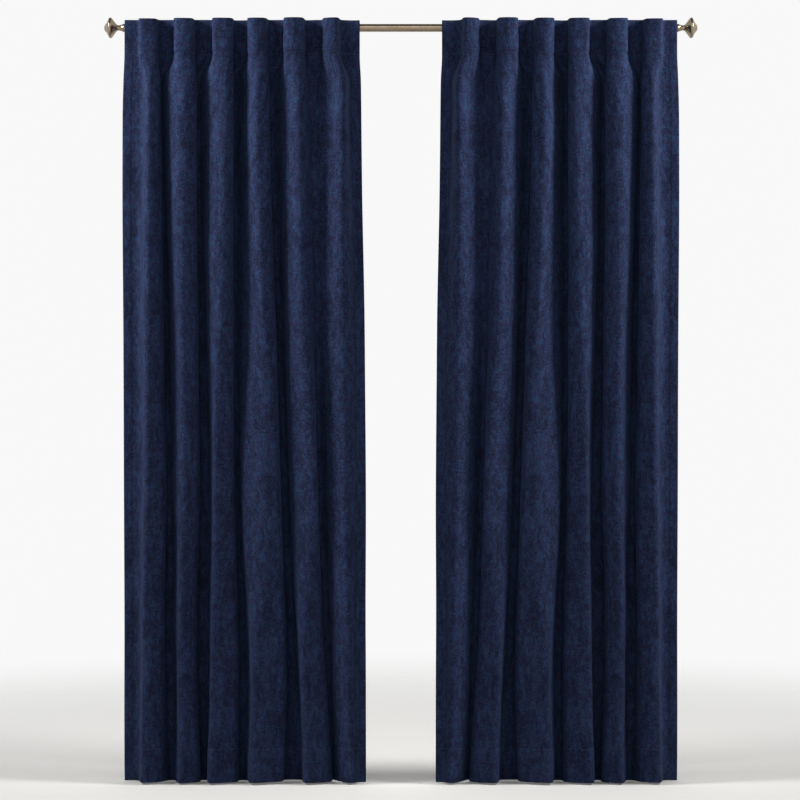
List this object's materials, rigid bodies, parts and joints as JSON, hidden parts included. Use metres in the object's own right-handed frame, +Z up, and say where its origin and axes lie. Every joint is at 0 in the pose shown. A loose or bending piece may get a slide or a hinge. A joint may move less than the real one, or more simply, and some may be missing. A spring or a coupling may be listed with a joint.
{
  "type": "pair of back-tab curtains on a rod",
  "caption": "Floor-length opaque navy curtain panels hanging by hidden back tabs from a round satin nickel rod with turned finials and plain wall brackets.",
  "frame": {"origin": "on the wall, midway between the two wall brackets, at the height of the rod's axis", "axes": "+X along the rod, to the right as seen from the room; +Y into the wall, so -Y is the room side; +Z up"},
  "size_m": [1.6706, 0.193, 2.1436],
  "materials": {
    "cloth": "matt crushed velvety pile, opaque navy",
    "nickel": "satin, warm-tinted nickel plate"
  },
  "bodies": {
    "root": {"rod": "nickel", "finial_left": "nickel", "bracket_left": "nickel", "panel_left": "cloth", "tab_left_1": "cloth", "tab_left_2": "cloth", "tab_left_3": "cloth", "tab_left_4": "cloth", "tab_left_5": "cloth", "tab_left_6": "cloth", "tab_left_7": "cloth", "finial_right": "nickel", "bracket_right": "nickel", "panel_right": "cloth", "tab_right_1": "cloth", "tab_right_2": "cloth", "tab_right_3": "cloth", "tab_right_4": "cloth", "tab_right_5": "cloth", "tab_right_6": "cloth", "tab_right_7": "cloth"}
  },
  "joints": []
}
